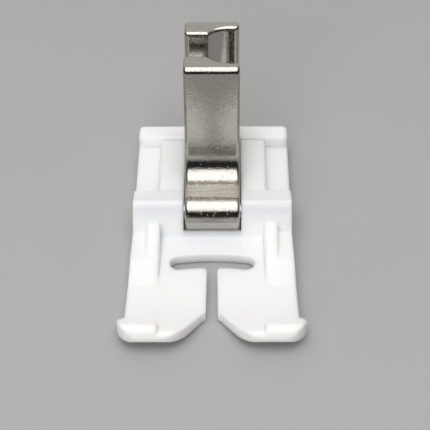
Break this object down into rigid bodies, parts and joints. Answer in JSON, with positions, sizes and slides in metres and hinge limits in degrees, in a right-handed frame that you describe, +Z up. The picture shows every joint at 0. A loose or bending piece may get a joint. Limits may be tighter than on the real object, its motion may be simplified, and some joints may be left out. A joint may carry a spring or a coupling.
{
  "type": "sewing machine presser foot",
  "caption": "Low-shank zigzag presser foot: forked nickel-plated shank hinged on a steel pin to a white non-stick plastic sole with split upturned toes and a bowed needle slot",
  "frame": {"origin": "centre of the footprint, on the flat underside of the sole", "axes": "+Y runs from the toes to the heel, +Z is up along the presser bar, +X is to the right for someone who faces the toes"},
  "size_m": [0.0196, 0.032, 0.0184],
  "materials": {
    "white_plastic": "smooth moulded white plastic with a soft sheen, slightly translucent at thin edges",
    "nickel_plate": "bright nickel plate over a zinc casting, faint orange peel and small pits",
    "pin_steel": "ground steel pin with plain ends"
  },
  "bodies": {
    "sole_body": {"sole": "white_plastic", "hinge_pin": "pin_steel"},
    "shank_body": {"shank": "nickel_plate"}
  },
  "joints": [
    {"name": "shank_hinge", "type": "hinge", "parent": "sole_body", "child": "shank_body", "pos_m": [0, 0.00155, 0.00295], "axis": [1, 0, 0], "range_deg": [0, 12]}
  ]
}
